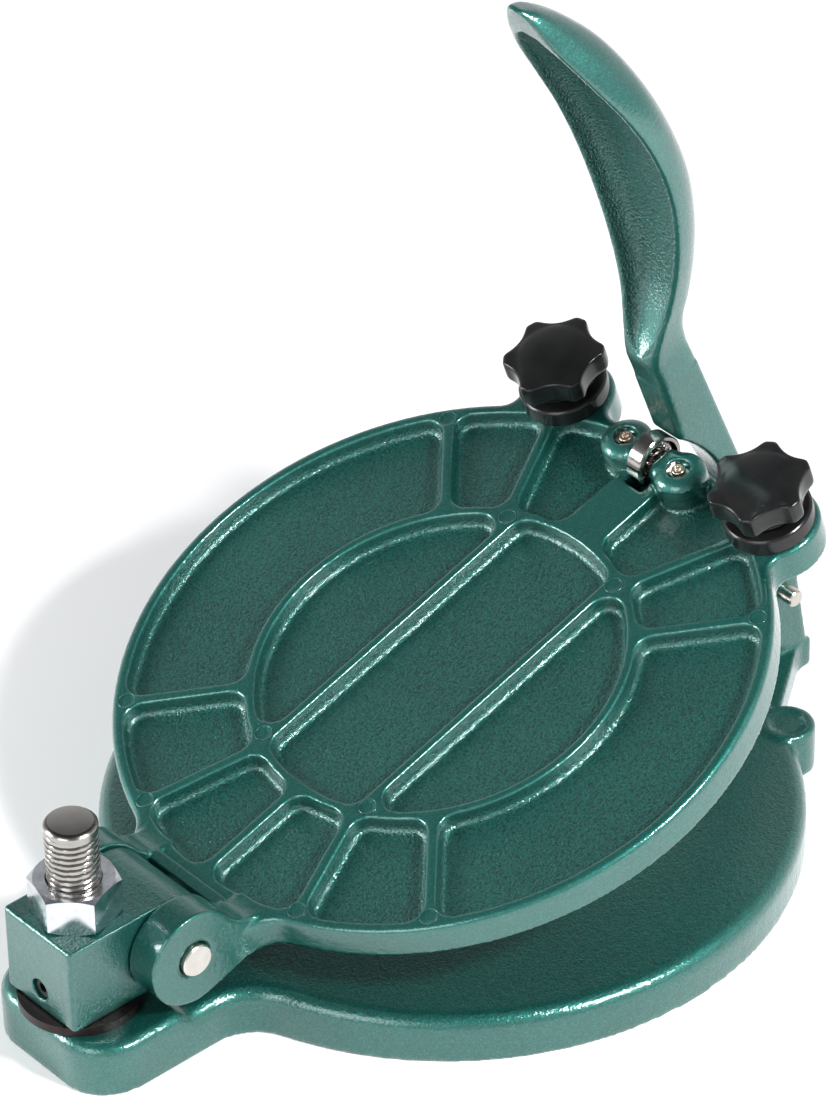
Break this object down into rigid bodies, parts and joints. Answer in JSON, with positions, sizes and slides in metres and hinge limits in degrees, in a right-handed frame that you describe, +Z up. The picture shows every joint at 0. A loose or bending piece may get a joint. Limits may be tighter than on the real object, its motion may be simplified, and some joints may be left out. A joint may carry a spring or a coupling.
{
  "type": "hand lever tortilla press",
  "caption": "Round cast press with a ribbed hinged top plate, a spoon-shaped lever that bears on a roller, and star-knob stops that set how far it closes.",
  "frame": {"origin": "on the ground under the centre of the base disc", "axes": "+X from the hinge column to the lever, +Y to the side, +Z up; the plate is propped open at 17.6 degrees with the lever against its roller"},
  "size_m": [0.3763, 0.2684, 0.3522],
  "materials": {
    "green_enamel": "glossy hammertone enamel on cast metal",
    "stainless_steel": "turned, bright",
    "zinc_plated_steel": "bright zinc plated",
    "zinc_screws": "yellow zinc plated",
    "black_gloss_plastic": "glossy moulded",
    "black_washer": "blackened, satin",
    "black_oxide": "black oxide",
    "brass_insert": "turned",
    "bearing_steel": "ground and polished",
    "cage_steel": "pressed"
  },
  "bodies": {
    "base": {"base_plate": "green_enamel", "spacer_washer": "black_washer", "hinge_stud": "stainless_steel", "hinge_nut": "zinc_plated_steel", "hinge_block": "green_enamel", "block_set_screw": "black_oxide", "lever_pin": "stainless_steel"},
    "plate": {"top_plate": "green_enamel", "hinge_pin": "stainless_steel", "roller_axle": "stainless_steel", "axle_screws": "zinc_screws", "roller_washer_near": "zinc_plated_steel", "roller_washer_far": "zinc_plated_steel", "bearing_inner_ring": "bearing_steel", "lock_collar_near": "black_gloss_plastic", "lock_collar_far": "black_gloss_plastic"},
    "roller": {"bearing_outer_ring": "bearing_steel"},
    "ball_train": {"bearing_balls": "bearing_steel", "bearing_cage": "cage_steel"},
    "adjuster_near": {"adjuster_stud_near": "zinc_plated_steel"},
    "knob_near": {"adjuster_knob_near": "black_gloss_plastic", "knob_insert_near": "brass_insert"},
    "adjuster_far": {"adjuster_stud_far": "zinc_plated_steel"},
    "knob_far": {"adjuster_knob_far": "black_gloss_plastic", "knob_insert_far": "brass_insert"},
    "lever": {"lever": "green_enamel"}
  },
  "joints": [
    {"name": "plate_hinge", "type": "hinge", "parent": "base", "child": "plate", "pos_m": [-0.1529, 0, 0.0439], "axis": [0, -1, 0], "range_deg": [-17.6, 52.4]},
    {"name": "lever_hinge", "type": "hinge", "parent": "base", "child": "lever", "pos_m": [0.1535, 0, 0.047], "axis": [0, -1, 0], "range_deg": [-104.8, 35.2]},
    {"name": "roller_spin", "type": "hinge", "parent": "plate", "child": "roller", "pos_m": [0.10361, 0, 0.12327], "axis": [0, 1, 0], "continuous": true},
    {"name": "cage_spin", "type": "hinge", "parent": "plate", "child": "ball_train", "pos_m": [0.10361, 0, 0.12327], "axis": [0, 1, 0], "continuous": true},
    {"name": "adjuster_slide_near", "type": "slide", "parent": "plate", "child": "adjuster_near", "axis": [-0.3024, 0, 0.9532], "range_m": [-0.002, 0.002]},
    {"name": "knob_spin_near", "type": "hinge", "parent": "adjuster_near", "child": "knob_near", "pos_m": [0.11534, -0.0563, 0.10612], "axis": [-0.3024, 0, 0.9532], "range_deg": [-480, 480]},
    {"name": "adjuster_slide_far", "type": "slide", "parent": "plate", "child": "adjuster_far", "axis": [-0.3024, 0, 0.9532], "range_m": [-0.002, 0.002]},
    {"name": "knob_spin_far", "type": "hinge", "parent": "adjuster_far", "child": "knob_far", "pos_m": [0.11534, 0.0563, 0.10612], "axis": [-0.3024, 0, 0.9532], "range_deg": [-480, 480]}
  ],
  "couplings": [
    {"joint": "lever_hinge", "follows": "plate_hinge", "ratio": -2},
    {"joint": "cage_spin", "follows": "roller_spin", "ratio": 0.634},
    {"joint": "adjuster_slide_near", "follows": "knob_spin_near", "m_per_rad": 0.00023873},
    {"joint": "adjuster_slide_far", "follows": "knob_spin_far", "m_per_rad": 0.00023873}
  ]
}
